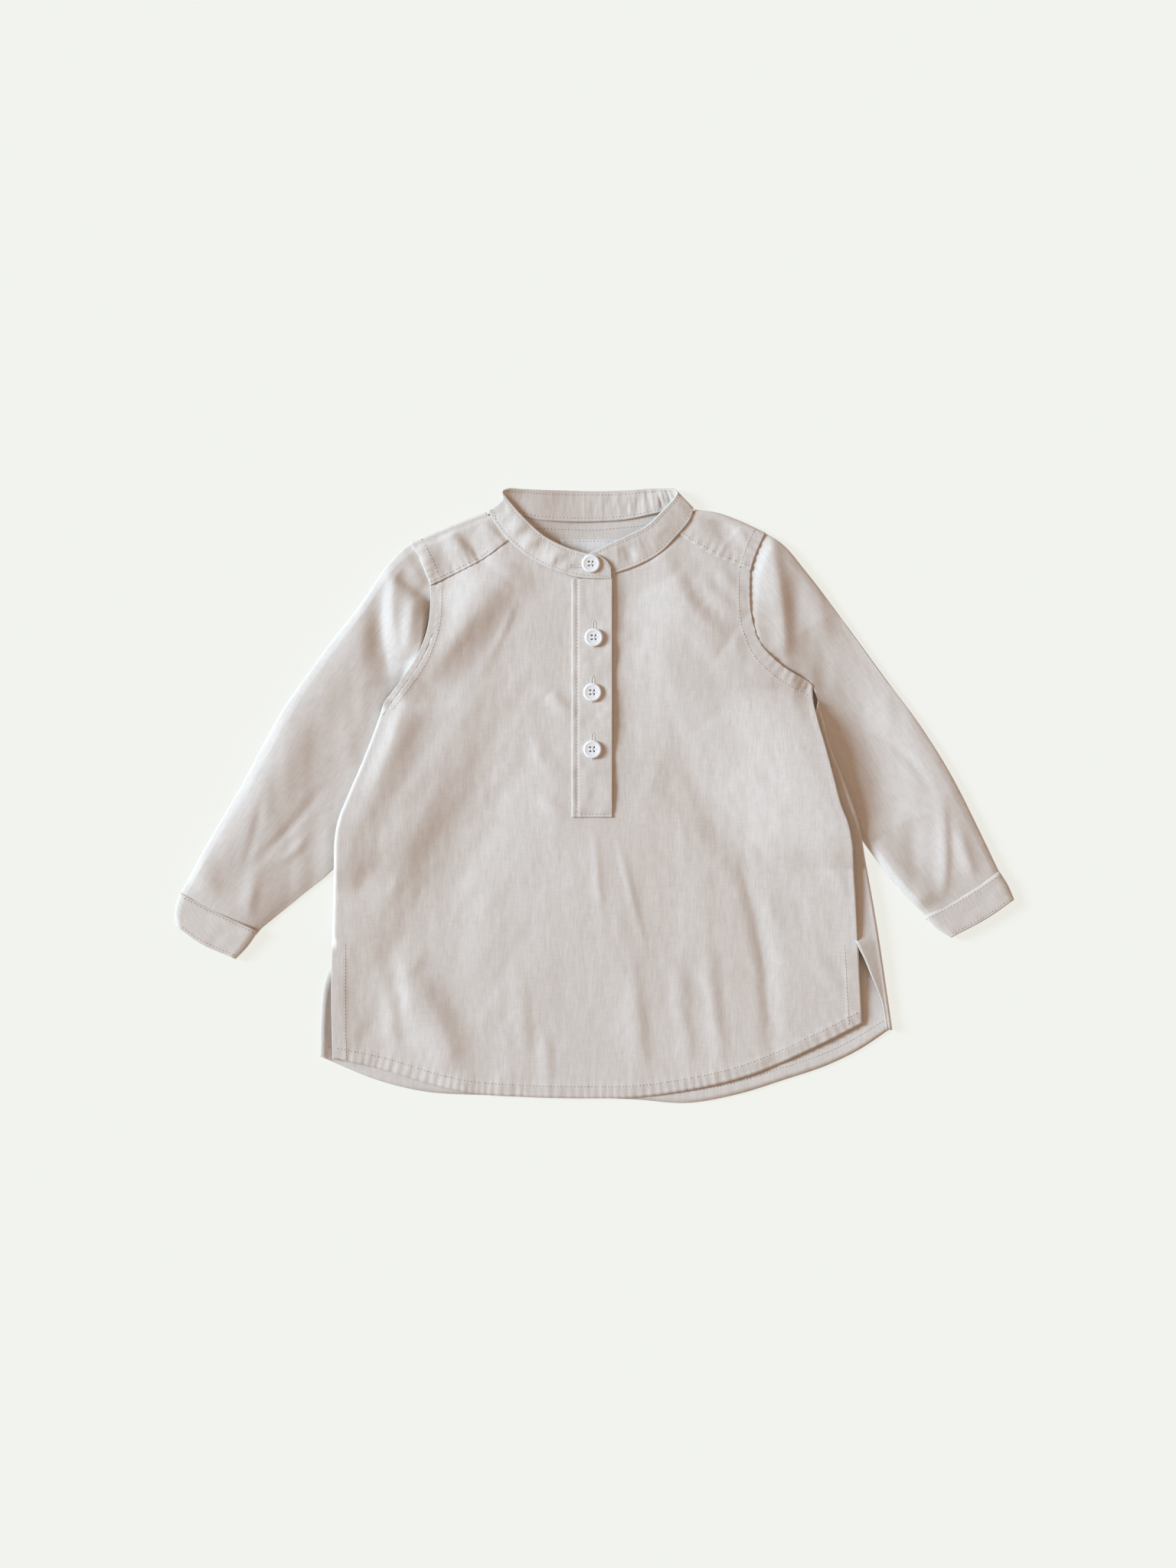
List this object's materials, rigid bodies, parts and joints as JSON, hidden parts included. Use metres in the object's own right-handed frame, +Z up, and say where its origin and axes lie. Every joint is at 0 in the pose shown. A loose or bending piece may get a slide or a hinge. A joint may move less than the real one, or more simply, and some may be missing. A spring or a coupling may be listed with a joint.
{
  "type": "mandarin collar shirt",
  "caption": "Toddler's long-sleeved pullover shirt with a band collar, half button placket, shoulder yoke and curved hem, laid flat with its front up.",
  "frame": {"origin": "on the table under the middle of the flat shirt (centre of the bounding box's underside)", "axes": "+X towards the wearer's left sleeve, +Y towards the collar, +Z up from the table, out of the shirt's front"},
  "size_m": [0.527, 0.3856, 0.0146],
  "materials": {
    "shirt_cloth": "matte plain-weave cotton, natural off-white",
    "button": "white, softly glossy",
    "label_tape": "matte woven tape, blank"
  },
  "bodies": {
    "root": {"back": "shirt_cloth", "front": "shirt_cloth", "yoke": "shirt_cloth", "collar_stand": "shirt_cloth", "placket_under": "shirt_cloth", "placket_over": "shirt_cloth", "sleeve_right": "shirt_cloth", "sleeve_left": "shirt_cloth", "cuff_right": "shirt_cloth", "cuff_left": "shirt_cloth", "button_1": "button", "button_2": "button", "button_3": "button", "button_4": "button", "neck_label": "label_tape"}
  },
  "joints": []
}
